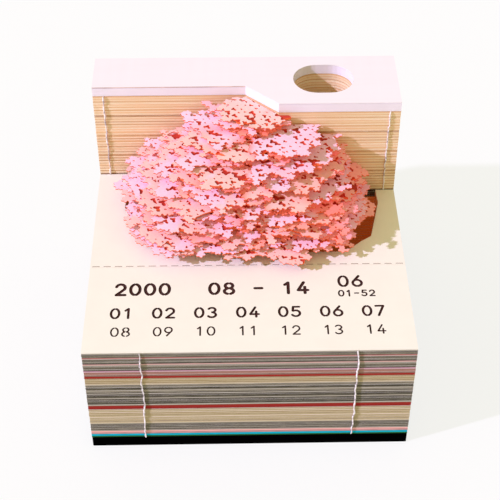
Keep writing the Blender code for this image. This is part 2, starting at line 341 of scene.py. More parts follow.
def fill(loops):
    """Triangles between loops: points, triangles and each loop's point numbers."""
    points = [Vector(point) * FILL_SCALE for loop in loops for point in loop]
    borders = []
    start = 0
    for loop in loops:
        borders.append(list(range(start, start + len(loop))))
        start += len(loop)
    filled = delaunay_2d_cdt(points, [], borders, FILL_INSIDE, FILL_SLACK)
    places, _, triangles, origins, _, _ = filled
    number = {}
    for here, sources in enumerate(origins):
        for source in sources:
            number[source] = here
    rings = []
    start = 0
    for loop in loops:
        rings.append([number[start + i] for i in range(len(loop))])
        start += len(loop)
    flat = [(place.x / FILL_SCALE, place.y / FILL_SCALE) for place in places]
    upward = []
    for a, b, c in triangles:
        (ax, ay), (bx, by), (cx, cy) = flat[a], flat[b], flat[c]
        turn = (bx - ax) * (cy - ay) - (by - ay) * (cx - ax)
        upward.append((a, b, c) if turn > 0 else (a, c, b))
    return flat, upward, rings


class Sheets:
    """Collects flat closed sheets into one mesh."""

    def __init__(self):
        self.points = []
        self.faces = []
        self.finish = []
        self.tints = []

    def face(self, corners, finish, tint=PLAIN_TINT):
        """One face, with the number of its material and its tint."""
        self.faces.append(corners)
        self.finish.append(finish)
        self.tints.append(tint)

    def prism(self, filled, bottom, top, top_finish, side_finish, tint=PLAIN_TINT, shift=(0.0, 0.0)):
        """One sheet. side_finish is a number, or a function of the ring and edge."""
        flat, triangles, rings = filled
        low = len(self.points)
        high = low + len(flat)
        for level in (bottom, top):
            self.points += [(x + shift[0], y + shift[1], level) for x, y in flat]
        for a, b, c in triangles:
            self.face((high + a, high + b, high + c), top_finish, tint)
            self.face((low + a, low + c, low + b), top_finish, tint)
        for ring_number, ring in enumerate(rings):
            for edge_number, (a, b) in enumerate(zip(ring, ring[1:] + ring[:1])):
                finish = side_finish(ring_number, edge_number) if callable(side_finish) else side_finish
                self.face((low + a, low + b, high + b, high + a), finish, tint)

    def build(self, name, materials):
        """The mesh as an object in the scene."""
        mesh = bpy.data.meshes.new(name)
        mesh.from_pydata(self.points, [], self.faces)
        for material in materials:
            mesh.materials.append(material)
        mesh.polygons.foreach_set("material_index", self.finish)
        tint = mesh.attributes.new("tint", "FLOAT", "FACE")
        tint.data.foreach_set("value", self.tints)
        mesh.update()
        piece = bpy.data.objects.new(name, mesh)
        scene.collection.objects.link(piece)
        return piece


def dress(piece, body, slot, *nodes):
    """Rides a piece on its body, in place of its solids."""
    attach(piece, body)
    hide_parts(*nodes)


# Materials

# Noise level at which the second pink starts and is full, where painted shade deepens the
# pink towards the right, the painted glow of petals and gaps, and the gaps' painted red shade
PATCH_START = 0.62
PATCH_END = 0.70
PAINTED_SHADE_START = 0.006
PAINTED_SHADE_END = 0.034
PETAL_PAINTED_GLOW = 0.22
GAP_PAINTED_GLOW = 0.25
GAP_PAINTED_SHADE = (0.880, 0.130, 0.045)

# Colours, each pink with its painted shade, and shades of cut edges from dark to light;
# the grey ones on white sheets are painted shade of the gaps between the sheets
PAGE_WHITE = (0.960, 0.930, 0.840)
LILAC = (0.985, 0.725, 0.905)
LILAC_PAINTED_SHADE = (0.860, 0.360, 0.440)
PEACH = (0.985, 0.665, 0.630)
PEACH_PAINTED_SHADE = (0.860, 0.330, 0.270)
GREY_PAINTED_SHADES = ((0.045, 0.042, 0.032), (0.140, 0.130, 0.095), (0.330, 0.300, 0.220))
CREAM_SHADES = ((0.260, 0.190, 0.085), (0.440, 0.350, 0.185), (0.600, 0.500, 0.310))

# Shades of scorched cuts, clean, tan and burnt, and of the near-black painted shadow
WELL_SHADES = ((0.900, 0.270, 0.052), (0.880, 0.220, 0.038), (0.760, 0.165, 0.024))
PAINTED_SHADOW_SHADES = ((0.070, 0.035, 0.020), (0.045, 0.022, 0.012), (0.020, 0.010, 0.006))
SPINE_SHADES = ((0.960, 0.780, 0.530), (0.930, 0.610, 0.330), (0.480, 0.220, 0.070))

# Darkest and lightest sheet of a coloured divider, as shares of its colour
EDGE_DARK = 0.6
EDGE_LIGHT = 1.25


class Shading:
    """A material's nodes, added one by one."""

    def __init__(self, name, colour, roughness, specular=0.25):
        self.material = bpy.data.materials.new(name)
        self.material.use_nodes = True
        self.tree = self.material.node_tree
        self.shader = self.tree.nodes["Principled BSDF"]
        self.shader.inputs["Base Color"].default_value = (*colour, 1.0)
        self.shader.inputs["Roughness"].default_value = roughness
        self.shader.inputs["Specular IOR Level"].default_value = specular
        self.place = self.add("ShaderNodeTexCoord").outputs["Object"]

    def add(self, kind, **settings):
        node = self.tree.nodes.new(kind)
        for key, value in settings.items():
            setattr(node, key, value)
        return node

    def link(self, start, end):
        self.tree.links.new(start, end)

    def noise(self, scale, detail=3.0, stretch=None):
        """Noise over the object, with scale in lumps a metre."""
        node = self.add("ShaderNodeTexNoise")
        node.inputs["Scale"].default_value = scale
        node.inputs["Detail"].default_value = detail
        start = self.place
        if stretch:
            mapping = self.add("ShaderNodeMapping")
            mapping.inputs["Scale"].default_value = stretch
            self.link(start, mapping.inputs["Vector"])
            start = mapping.outputs["Vector"]
        self.link(start, node.inputs["Vector"])
        return node.outputs["Fac"]

    def ramp(self, factor, stops):
        """Colours along a factor, as (position, colour) pairs."""
        node = self.add("ShaderNodeValToRGB")
        elements = node.color_ramp.elements
        while len(elements) < len(stops):
            elements.new(1.0)
        for element, (position, colour) in zip(elements, stops):
            element.position = position
            element.color = (*colour, 1.0)
        self.link(factor, node.inputs["Fac"])
        return node.outputs["Color"]

    def mix(self, factor, first, second, blend="MIX"):
        """Two colours mixed by a factor."""
        node = self.add("ShaderNodeMix", data_type="RGBA", blend_type=blend)
        sockets = node.inputs[0], node.inputs[6], node.inputs[7]
        for value, socket in zip((factor, first, second), sockets):
            if isinstance(value, bpy.types.NodeSocket):
                self.link(value, socket)
            elif isinstance(value, tuple):
                socket.default_value = (*value, 1.0)
            else:
                socket.default_value = value
        return node.outputs[2]

    def value(self, name):
        """A value between 0 and 1 that the mesh carries."""
        return self.add("ShaderNodeAttribute", attribute_name=name).outputs["Fac"]

    def scale(self, value, factor, more=0.0):
        """A value times a factor, plus another."""
        node = self.add("ShaderNodeMath", operation="MULTIPLY_ADD")
        self.link(value, node.inputs[0])
        node.inputs[1].default_value = factor
        if isinstance(more, bpy.types.NodeSocket):
            self.link(more, node.inputs[2])
        else:
            node.inputs[2].default_value = more
        return node.outputs[0]

    def colour(self, source):
        self.link(source, self.shader.inputs["Base Color"])

    def across(self, start, end, low, high, both_ways=False):
        """A value that goes smoothly from low to high between two places across the part."""
        spot = self.add("ShaderNodeSeparateXYZ")
        self.link(self.place, spot.inputs[0])
        x = spot.outputs["X"]
        if both_ways:
            size = self.add("ShaderNodeMath", operation="ABSOLUTE")
            self.link(x, size.inputs[0])
            x = size.outputs[0]
        node = self.add("ShaderNodeMapRange", interpolation_type="SMOOTHSTEP")
        for socket, value in zip(node.inputs[1:5], (start, end, low, high)):
            socket.default_value = value
        self.link(x, node.inputs[0])
        return node.outputs[0]

    def glow(self, colour, strength):
        """A painted glow, standing in for light that comes through and between the papers."""
        self.shader.inputs["Emission Color"].default_value = (*colour, 1.0)
        self.shader.inputs["Emission Strength"].default_value = strength

    def bump(self, height, strength, distance):
        node = self.add("ShaderNodeBump")
        node.inputs["Strength"].default_value = strength
        node.inputs["Distance"].default_value = distance
        self.link(height, node.inputs["Height"])
        self.link(node.outputs["Normal"], self.shader.inputs["Normal"])


def scaled(colour, factor):
    """A colour made darker or lighter."""
    return tuple(min(1.0, value * factor) for value in colour)


def grey(level):
    """A grey between black at 0 and white at 1."""
    return (level, level, level)


def paper(name, colour, roughness=0.9, mottle=0.05, fibre=0.25, specular=0.2, glow=0.0):
    """Flat paper with faint cloudiness, a fine fibre grain and, where glow is set, a painted glow."""
    made = Shading(name, colour, roughness, specular)
    made.glow(colour, glow)
    cloud = made.noise(scale=160.0, detail=4.0)
    low, high = scaled(colour, 1 - mottle), scaled(colour, 1 + mottle)
    made.colour(made.ramp(cloud, ((0.3, low), (0.7, high))))
    made.bump(made.noise(scale=5200.0, detail=2.0), strength=fibre, distance=0.00003)
    return made.material


def cut_edge(name, dark, middle, light):
    """Edges of stacked sheets: each sheet has its own shade, with streaks along it."""
    made = Shading(name, middle, roughness=0.92, specular=0.15)
    shade = made.ramp(made.value("tint"), ((0.0, dark), (0.5, middle), (1.0, light)))
    streak = made.noise(scale=240.0, detail=4.0, stretch=(1.0, 1.0, 14.0))
    share = made.ramp(streak, ((0.45, grey(0.0)), (0.75, grey(0.5))))
    made.colour(made.mix(share, shade, light))
    grain = made.noise(scale=2600.0, detail=2.0, stretch=(0.25, 0.25, 2.0))
    made.bump(grain, strength=0.5, distance=0.00005)
    return made.material


def scorched(name, pale, tan, burnt, glow=0.0):
    """Scorched cuts: pale where clean, tan and brown where burnt; also a painted shadow, and a painted
    glow.
    """
    made = Shading(name, tan, roughness=0.9, specular=0.15)
    shade = made.ramp(made.value("tint"), ((0.0, burnt), (0.22, tan), (0.55, pale), (1.0, pale)))
    smoke = made.noise(scale=70.0, detail=4.0, stretch=(1.0, 1.0, 3.0))
    share = made.ramp(smoke, ((0.4, grey(0.0)), (0.8, grey(0.55))))
    made.colour(made.mix(share, shade, tan))
    made.glow(tan, 0.0)
    # Painted glow: full across the well, fading to nothing towards the block's sides
    if glow:
        fade = made.across(WELL_RIGHT_X, HALF, glow, 0.0, both_ways=True)
        made.link(fade, made.shader.inputs["Emission Strength"])
    grain = made.noise(scale=3000.0, detail=2.0, stretch=(0.3, 0.3, 2.0))
    made.bump(grain, strength=0.5, distance=0.00005)
    return made.material


def blossom(name, main, other, amount, deep, share):
    """Tissue-thin blossom paper, in patches of two pinks.

    Painted shade deepens it towards the right, and painted red shade fills the gaps
    under the shelves' rims; both carry a painted glow.
    """
    made = Shading(name, main, roughness=0.85, specular=0.2)
    patch = made.noise(scale=85.0, detail=3.0)
    mask = made.ramp(patch, ((PATCH_START - amount, grey(0.0)), (PATCH_END - amount, grey(1.0))))
    base = made.mix(mask, main, other)
    # Painted shade on the right of the dome, the side away from the key light
    right = made.across(PAINTED_SHADE_START, PAINTED_SHADE_END, 0.0, share)
    # Painted red shade and painted glow where the mesh marks the gaps under the shelves
    gap_shade = made.value("gap_shade")
    base = made.mix(gap_shade, made.mix(right, base, deep), GAP_PAINTED_SHADE)
    made.link(made.mix(gap_shade, deep, GAP_PAINTED_SHADE), made.shader.inputs["Emission Color"])
    through = made.scale(gap_shade, GAP_PAINTED_GLOW, made.scale(right, PETAL_PAINTED_GLOW))
    made.link(through, made.shader.inputs["Emission Strength"])
    fleck = made.noise(scale=900.0, detail=2.0)
    fleck = made.ramp(fleck, ((0.35, grey(0.93)), (0.65, grey(1.0))))
    made.colour(made.mix(1.0, base, fleck, "MULTIPLY"))
    made.bump(made.noise(scale=4200.0, detail=2.0), strength=0.2, distance=0.00003)
    return made.material


def glue():
    """Dried padding glue, a little shiny and uneven."""
    made = Shading("padding_glue", (0.90, 0.86, 0.85), roughness=0.45, specular=0.4)
    lump = made.noise(scale=900.0, detail=3.0)
    made.colour(made.ramp(lump, ((0.36, (0.46, 0.40, 0.42)), (0.52, (0.95, 0.92, 0.92)))))
    made.bump(lump, strength=0.6, distance=0.0001)
    return made.material


def card(name, colour, weave):
    """Board faced with paper, with a faint laid grain both ways."""
    made = Shading(name, colour, roughness=0.8, specular=0.3)
    along = made.noise(scale=420.0, detail=3.0, stretch=(1.0, 0.08, 1.0))
    across = made.noise(scale=420.0, detail=3.0, stretch=(0.08, 1.0, 1.0))
    grain = made.mix(0.5, along, across)
    low, high = scaled(colour, 1 - weave), scaled(colour, 1 + weave)
    made.colour(made.ramp(grain, ((0.35, low), (0.65, high))))
    made.bump(made.noise(scale=3800.0, detail=2.0), strength=0.2, distance=0.00003)
    return made.material


page_paper = paper("page_paper", PAGE_WHITE, mottle=0.015)
# Scorch of the well's walls, with a painted glow standing in for light through the paper
well_scorch_and_glow = scorched("well_scorch_painted_glow", *WELL_SHADES, glow=0.10)
# Near-black painted shadow at the foot of the spine, where it stands in deep shade
painted_shadow = scorched("painted_shadow_black", *PAINTED_SHADOW_SHADES)
scorch_tan = scorched("spine_scorch", *SPINE_SHADES)
# Floor of the numerals: scorched brown, darkened as painted shade of the cut
numeral_scorch_and_shade = paper("numeral_scorch_and_painted_shade", (0.060, 0.022, 0.020), mottle=0.2)
cut_brown = paper("cut_scorch", (0.340, 0.220, 0.150), mottle=0.3)
bark = paper("bark_paper", (0.130, 0.042, 0.015), mottle=0.2)
# Rims scorched red with a painted glow, pad walls in painted red shade and glow, pad tops in painted
# shade
rim_scorch_and_glow = paper("petal_scorch_painted_glow", (0.900, 0.180, 0.080), mottle=0.2, glow=0.08)
core_painted_red_glow = paper("core_painted_red_glow", (0.960, 0.160, 0.050), mottle=0.2, glow=0.12)
core_painted_shade = paper("core_painted_shade", (0.560, 0.050, 0.032), mottle=0.3)
petals = {
    "L": blossom("blossom_lilac", LILAC, PEACH, amount=0.06, deep=LILAC_PAINTED_SHADE, share=0.50),
    "P": blossom("blossom_peach", PEACH, LILAC, amount=0.04, deep=PEACH_PAINTED_SHADE, share=0.75),
}
cover_card = card("cover_card", (0.950, 0.900, 0.970), weave=0.012)
cover_core = paper("cover_core", (0.930, 0.880, 0.990), mottle=0.02)
cover_line = paper("cover_scorch", (0.720, 0.540, 0.490), mottle=0.3)
black_card = paper("black_card", (0.0008, 0.0008, 0.0008), mottle=0.3, specular=0.0)
bead_glue = glue()


# Blossom crown


def wall_y(x):
    """Front of the spine at each x."""
    return np.interp(x, (STEP_START_X, STEP_END_X), (SPINE_LEFT_Y, SPINE_RIGHT_Y))


class BlossomLayer:
    """One layer of the crown: a slice of the dome in front of the spine."""

    def __init__(self, number):
        self.number = number
        self.node = f"blossom_layer_{number:02d}"
        low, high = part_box(self.node)
        self.bottom, self.top = low[2], high[2]
        self.rise = (self.top - DOME_FOOT) / DOME_HEIGHT
        self.x = CROWN_X + CROWN_LEAN_X * self.rise
        self.back = REACH_BACK_FOOT + (REACH_BACK_TOP - REACH_BACK_FOOT) * self.rise
        self.dice = random.Random(CROWN_SEED + number)

    def place(self, angle):
        """How many layers lie between this one and the top of its shelf at an angle."""
        climb = sum(size * np.sin(waves * angle + turn) for waves, size, turn in CLIMB)
        level = (CROWN_LAYERS - self.number + climb * math.sqrt(1 - self.rise)) % SHELF_LAYERS
        slope = np.minimum(level / SHELF_FALL, (SHELF_LAYERS - level) / (SHELF_LAYERS - SHELF_FALL))
        return SHELF_FALL * slope * min(1.0, (self.number - 1) / SHELF_LAYERS)

    def rim(self, angle):
        """Distance from the middle to the rim at an angle."""
        place = self.place(angle)
        rise = np.minimum(self.rise + place * CROWN_PITCH / DOME_HEIGHT, TOP_RISE)
        swell = np.sqrt(1 - rise ** SWELL_POWER)
        slack = SLACK_LEAST + (1 - SLACK_LEAST) * swell
        square = SQUARE_TOP + SQUARE_GAIN * (1 - rise) ** SQUARE_POWER
        along_x, along_y = np.cos(angle), np.sin(angle)
        across = np.where(along_x > 0, REACH_RIGHT, REACH_LEFT) * swell + CAP_SPREAD * rise ** CAP_POWER
        along = np.where(along_y > 0, self.back, REACH_FRONT * swell)
        spread = np.abs(along_x / across) ** square + np.abs(along_y / along) ** square
        wave = sum(size * np.sin(waves * angle + turn * self.number) for waves, size, turn in LOBES)
        lobe = LOBE_LIMIT * np.tanh(LOBE_DEPTH / LOBE_LIMIT * wave)
        reach = spread ** (-1 / square) + (lobe - SHELF_SET_BACK * place) * slack
        for layer, middle, length, width in SPRAYS:
            if layer == self.number:
                away = (angle - math.radians(middle) + np.pi) % (2 * np.pi) - np.pi
                reach = reach + length * np.exp(-(away / width) ** 2)
        return reach

    def depth(self, x, y):
        """How far inside the rim each point of the grid is."""
        dx = x - self.x
        dy = y - CROWN_Y
        straight = self.rim(np.arctan2(dy, dx)) - np.hypot(dx, dy)
        nearest = np.where(straight > 0, FAR, 0.0)
        for _ in range(int(DEPTH_SOUGHT / LACE_STEP)):
            for down, across in ((0, 1), (1, 0), (1, 1), (1, -1)):
                cost = LACE_STEP * math.hypot(down, across)
                for way in (-1, 1):
                    beside = np.roll(nearest, (way * down, way * across), (0, 1))
                    nearest = np.minimum(nearest, beside + cost)
        return np.minimum(straight, nearest)

    def scatter(self, pitch, depth):
        """Points of a loose honeycomb over the layer, with each one's depth."""
        rows, columns = depth.shape
        for row in range(int(rows * LACE_STEP / (pitch * ROW_PITCH))):
            for column in range(int(columns * LACE_STEP / pitch)):
                x = pitch * (column + 0.5 * (row % 2) + self.dice.gauss(0, LOOSENESS))
                y = pitch * (ROW_PITCH * row + self.dice.gauss(0, LOOSENESS))
                down = min(max(int(y / LACE_STEP), 0), rows - 1)
                across = min(max(int(x / LACE_STEP), 0), columns - 1)
                yield GRID_LEFT + x, GRID_FRONT + y, float(depth[down, across])

    def flowers(self, field):
        """Centre, size and turn of each flower along the rim."""
        for x, y, depth in self.scatter(FLOWER_PITCH, field):
            size = self.dice.uniform(FLOWER_LEAST, FLOWER_MOST)
            turn = self.dice.uniform(0, 2 * math.pi)
            near_rim = FLOWER_INSET * size < depth < RIM_WIDTH + size
            if near_rim and self.dice.random() < FLOWER_CHANCE:
                yield x, y, size, turn

    def holes(self, field):
        """Centre, size and turn of each cut between the flowers."""
        for x, y, depth in self.scatter(HOLE_PITCH, field):
            size = HOLE_LEAST + (HOLE_MOST - HOLE_LEAST) * self.dice.random() ** HOLE_POWER
            turn = self.dice.uniform(0, 2 * math.pi)
            crowd = math.sin(CROWD_WAVE_X * x + self.number)
            crowd *= math.sin(CROWD_WAVE_Y * y + CROWD_TURN * self.number)
            chance = HOLE_CHANCE + HOLE_CROWDING * crowd
            if HOLE_INSET + size < depth and self.dice.random() < chance:
                yield x, y, size * (1 + HOLE_GROWTH * crowd), turn

    def window(self, shape, cx, cy, size):
        """The part of the grid round a point, and the offsets in it."""
        reach = int(size / LACE_STEP) + 2
        column = int((cx - GRID_LEFT) / LACE_STEP)
        row = int((cy - GRID_FRONT) / LACE_STEP)
        rows = np.arange(max(row - reach, 0), min(row + reach + 1, shape[0]))
        columns = np.arange(max(column - reach, 0), min(column + reach + 1, shape[1]))
        dx, dy = np.meshgrid(GRID_LEFT + columns * LACE_STEP - cx, GRID_FRONT + rows * LACE_STEP - cy)
        return np.ix_(rows, columns), dx, dy

    def fields(self):
        """Grids that are positive inside the lace, and inside the pad under it."""
        columns = np.arange(GRID_LEFT, -GRID_LEFT, LACE_STEP)
        rows = np.arange(GRID_FRONT, GRID_BACK, LACE_STEP)
        x, y = np.meshgrid(columns, rows)
        depth = self.depth(x, y)
        wall = wall_y(x) - CROWN_CLEARANCE - y
        lace = depth - RIM_WIDTH
        for cx, cy, size, turn in self.flowers(depth):
            part, dx, dy = self.window(lace.shape, cx, cy, size)
            petal = np.abs(((np.arctan2(dy, dx) + turn) * PETALS / (2 * np.pi)) % 1.0 * 2 - 1)
            notch = np.maximum(0, petal - NOTCH_START)
            rim = size * (PETAL_ROOT + PETAL_LENGTH * petal ** PETAL_POWER - NOTCH_DEPTH * notch)
            lace[part] = np.maximum(lace[part], rim - np.hypot(dx, dy))
        leftward = np.clip((self.x - x) / REACH_LEFT, 0.0, 1.0)
        inset = CORE_INSET + (CORE_INSET_LEFT - CORE_INSET) * leftward
        core = np.minimum(np.minimum(depth - inset, lace - CORE_MARGIN), wall)
        for cx, cy, size, turn in self.holes(depth):
            part, dx, dy = self.window(lace.shape, cx, cy, HOLE_REACH * size)
            angle = np.arctan2(dy, dx)
            corners = HOLE_CORNERS * np.sin(3 * angle + turn)
            stretch = HOLE_STRETCH * np.cos(2 * angle + STRETCH_TURN * turn)
            rim = size * (1 + corners + stretch)
            lace[part] = np.minimum(lace[part], np.hypot(dx, dy) - rim)
        return np.minimum(lace, wall), core[::CORE_STRIDE, ::CORE_STRIDE]

    def gap_shade(self, points):
        """How much painted red shade each point takes under a shelf, between 0 and 1."""
        x, y, _ = np.array(points).T
        place = self.place(np.arctan2(y - CROWN_Y, x - self.x))
        below = (place - GAP_START) / (GAP_END - GAP_START)
        shade = 1 + (x - self.x) / REACH_LEFT
        return GAP_MOST * np.clip(shade, GAP_LEAST, 1) * np.clip(below, 0, 1)

    def build(self):
        """The lace and its pad as one piece."""
        sheets = Sheets()
        seam = self.top - LACE_SHEET
        lace, core = self.fields()
        loops = contour_loops(core, GRID_LEFT, GRID_FRONT, CORE_STRIDE * LACE_STEP)
        pad = pieces_in(loops, LACE_SLACK)[0][0]
        sheets.prism(fill([pad]), self.bottom, seam - SHEET_AIR, CORE_TOP, CORE_WALL)
        loops = contour_loops(lace, GRID_LEFT, GRID_FRONT, LACE_STEP)
        for index, outlines in enumerate(pieces_in(loops, LACE_SLACK)):
            if index == 0 or holds(pad, np.mean(outlines[0], axis=0)):
                sheets.prism(fill(outlines), seam, self.top, PETAL, PETAL_CUT)
        colour = petals[LAYER_COLOURS[self.number - 1]]
        piece = sheets.build(f"lace_{self.node}", (colour, rim_scorch_and_glow, core_painted_red_glow, core_painted_shade))
        # Share of painted red shade in the gaps under the shelves, read by the blossom material
        gap_shade = piece.data.attributes.new("gap_shade", "FLOAT", "POINT")
        gap_shade.data.foreach_set("value", self.gap_shade(sheets.points))
        rows = frame["record"]["subparts"]
        slot = next(row["material_slot"] for row in rows if row["node"] == self.node)
        dress(piece, "pad", slot, self.node)


def build_crown():
    """All layers of the crown, from the lowest up."""
    for number in range(1, CROWN_LAYERS + 1):
        BlossomLayer(number).build()


# Sheets of the block


def sheet_outline(front):
    """A sheet from its front edge to the spine, with the well open at the back."""
    left_back = SPINE_LEFT_Y - SEAT_GAP
    right_back = SPINE_RIGHT_Y - SEAT_GAP
    rim = [(-HALF, front), (HALF, front), (HALF, right_back), (WELL_RIGHT_X, right_back)]
    rim += reversed(WELL_POINTS)
    return rim + [(WELL_LEFT_X, left_back), (-HALF, left_back)]


# Edges of a sheet's outline at its front, right and left
SHEET_OUTSIDE = (0, 1, 12)


def sheet_side(ring, edge):
    """Guillotined outside, scorched in the well and where it meets the spine, the scorch with a painted
    glow.
    """
    return GUILLOTINED if edge in SHEET_OUTSIDE else SCORCHED


def spine_outline():
    """The spine from above."""
    return [
        (HALF, HALF),
        (-HALF, HALF),
        (-HALF, SPINE_LEFT_Y),
        (STEP_START_X, SPINE_LEFT_Y),
        (STEP_END_X, SPINE_RIGHT_Y),
        (HALF, SPINE_RIGHT_Y),
    ]


def pen_slot_outline():
    """The pen slot, clockwise."""
    radius = PEN_WIDTH / 2
    straight = (PEN_LENGTH - PEN_WIDTH) / 2
    points = []
    for side, start in ((1, -math.pi / 2), (-1, math.pi / 2)):
        for step in range(PEN_ARC_STEPS + 1):
            angle = start + math.pi * step / PEN_ARC_STEPS
            x = PEN_X + side * straight + radius * math.cos(angle)
            points.append((x, PEN_Y + radius * math.sin(angle)))
    return points[::-1]


# Edges of the spine's outline at its front, the left one first
SPINE_FRONT = (2, 3, 4)


def spine_side(ring, edge):
    """Guillotined back and sides, scorched front and pen slot."""
    return GUILLOTINED if ring == 0 and edge not in SPINE_FRONT else SCORCHED


def low_spine_side(ring, edge):
    """As on the rest of the spine, with the front darker, in the well's scorch with its painted glow.
    """
    return DARKENED if ring == 0 and edge in SPINE_FRONT else spine_side(ring, edge)


def painted_shadow_side(ring, edge):
    """As on the rest of the spine, with the front painted near black as shadow."""
    return PAINTED_SHADOW_FINISH if ring == 0 and edge in SPINE_FRONT else spine_side(ring, edge)


def cover_side(ring, edge):
    """The cover sheet is scorched along its front on the left."""
    return COVER_SCORCHED if ring == 0 and edge == SPINE_FRONT[0] else COVER_FACE


def stack(name, node, filled, side, materials, slot, dice, rhythm=0, shadow_band=0.0):
    """A bundle of thin sheets in place of a solid block.

    Every few sheets may be darker, and the front of the top ones painted near black as shadow.
    """
    low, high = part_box(node)
    count = max(1, round((high[2] - low[2]) / SHEET))
    pitch = (high[2] - low[2]) / count
    sheets = Sheets()
    for index in range(count):
        bottom = low[2] + pitch * index
        shift = (dice.uniform(-SHEET_SHIFT, SHEET_SHIFT), dice.uniform(-SHEET_SHIFT, SHEET_SHIFT))
        if not rhythm:
            tint = dice.uniform(0.0, 1.0)
        elif index % rhythm == 0:
            tint = dice.uniform(0.0, DARK_TINT)
        else:
            tint = dice.uniform(DARK_TINT, 1.0)
        cut = painted_shadow_side if high[2] - bottom < shadow_band else side
        sheets.prism(filled, bottom, bottom + pitch - SHEET_AIR, FACE, cut, tint, shift)
    dress(sheets.build(name, materials), "pad", slot, node)


def edge_colour(name, middle):
    """Cut edges of coloured paper."""
    return cut_edge(name, scaled(middle, EDGE_DARK), middle, scaled(middle, EDGE_LIGHT))


def build_block():
    """The sheets that are still bound, and the board under them."""
    dice = random.Random(BLOCK_SEED)
    # Grey on the white sheets' edges is painted shade of the gaps between them, in a random tone per
    # sheet
    grey_edge_painted_shade = cut_edge("grey_edges_painted_shade", *GREY_PAINTED_SHADES)
    cream_edge = cut_edge("cream_edges", *CREAM_SHADES)
    red_edge = edge_colour("red_edges", (0.300, 0.026, 0.020))
    edges = {
        "green_divider": ("green_paper", edge_colour("green_edges", (0.020, 0.120, 0.030))),
        "cyan_divider": ("cyan_paper", edge_colour("cyan_edges", (0.004, 0.590, 0.780))),
        "pink_divider": ("pink_paper", edge_colour("pink_edges", (0.800, 0.430, 0.405))),
        "grey_pages_lower": ("grey_paper", grey_edge_painted_shade),
        "cream_pages_lower": ("cream_paper", cream_edge),
        "red_divider_lower": ("red_paper", red_edge),
        "grey_pages_middle": ("grey_paper", grey_edge_painted_shade),
        "cream_pages_upper": ("cream_paper", cream_edge),
        "red_divider_upper": ("red_paper", red_edge),
        "blush_pages": ("blush_paper", edge_colour("blush_edges", (0.360, 0.190, 0.150))),
        "lilac_divider": ("lilac_paper", edge_colour("lilac_edges", (0.600, 0.330, 0.430))),
        "grey_pages_third": ("grey_paper", grey_edge_painted_shade),
        "pale_pink_divider": ("pink_paper", edge_colour("pale_pink_edges", (0.640, 0.410, 0.370))),
        "grey_pages_second": ("grey_paper", grey_edge_painted_shade),
        "rose_divider": ("rose_paper", edge_colour("rose_edges", (0.460, 0.190, 0.170))),
        "grey_pages_first": ("grey_paper", grey_edge_painted_shade),
    }
    filled = fill([sheet_outline(-HALF)])
    for node, (slot, edge) in edges.items():
        face = edge if "divider" in node else page_paper
        stack(f"sheets_{node}", node, filled, sheet_side, (face, edge, well_scorch_and_glow), slot, dice)
    base = Sheets()
    board = [(-HALF, -HALF), (HALF, -HALF), (HALF, HALF), (-HALF, HALF)]
    base.prism(fill([board]), 0.0, BASE_TOP, FACE, FACE)
    piece = base.build("board_base", (black_card,))
    bevel = piece.modifiers.new("worn_edges", "BEVEL")
    bevel.width = BOARD_WEAR
    bevel.segments = 2
    dress(piece, "pad", "black_card", "base_board")


def build_spine():
    """The bound stubs behind the block, and the cover on them."""
    dice = random.Random(SPINE_SEED)
    edge = cut_edge("spine_edges", *CREAM_SHADES)
    filled = fill([spine_outline(), pen_slot_outline()])
    materials = (page_paper, edge, scorch_tan, well_scorch_and_glow, painted_shadow)
    for part in ("lower", "1", "2", "3", "4"):
        node = f"spine_stubs_{part}"
        side, shadow_band = (low_spine_side, PAINTED_SHADOW_BAND) if part == "lower" else (spine_side, 0.0)
        name = f"sheets_{node}"
        stack(name, node, filled, side, materials, "spine_paper", dice, SPINE_RHYTHM, shadow_band)
    covers = ("cover_board", cover_core, COVER_FACE), ("cover_sheet", cover_card, cover_side)
    for node, material, side in covers:
        low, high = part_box(node)
        sheets = Sheets()
        sheets.prism(filled, low[2], high[2], COVER_FACE, side)
        dress(sheets.build(f"faced_{node}", (material, cover_line)), "pad", "cover_card", node)


# Current sheet

# Numerals: sizes as shares of their height, then the grid that traces them
NUMERAL_WIDTH = 0.62
NUMERAL_ROOM = 0.68
NUMERAL_ADVANCE = 0.98
NUMERAL_STEP = 0.00006
NUMERAL_MARGIN = 2
NUMERAL_SLACK = 0.000008
NUMERAL_FLOOR = 0.00005

# Rows and columns of plain numbers on the strip, with each row's height and stroke width
HEADER_Y = -0.0212
HEADER_LEFT_X = -0.0296
HEADER_MIDDLE_X = 0.0028
HEADER_SIZE = (0.0042, 0.00092)
CORNER_OFFSET = 0.0024
CORNER_UPPER_X = 0.0287
CORNER_UPPER_SIZE = (0.0040, 0.00078)
CORNER_LOWER_X = 0.0302
CORNER_LOWER_SIZE = (0.0022, 0.00048)
DAY_Y = -0.0305
DAY_SIZE = (0.0036, 0.00070)
DATE_Y = -0.0375
DATE_SIZE = (0.0031, 0.00048)
COLUMNS = 7
COLUMN_START = -0.0350
COLUMN_PITCH = 0.01155
FIRST_DATE = 8

# Perforation, and how far the strip's back edge slopes
CUT_COUNT = 28
CUT_LENGTH = 0.0021
CUT_WIDTH = 0.00020
CREASE = 0.00007


def arc(cx, cy, rx, ry, start, end, steps=14):
    """Points along an arc, in degrees."""
    angles = [math.radians(start + (end - start) * i / steps) for i in range(steps + 1)]
    return [(cx + rx * math.cos(a), cy + ry * math.sin(a)) for a in angles]


def half_turn(strokes):
    """The strokes turned upside down about the middle of the numeral."""
    return [[(NUMERAL_WIDTH - x, 1.0 - y) for x, y in stroke] for stroke in strokes]


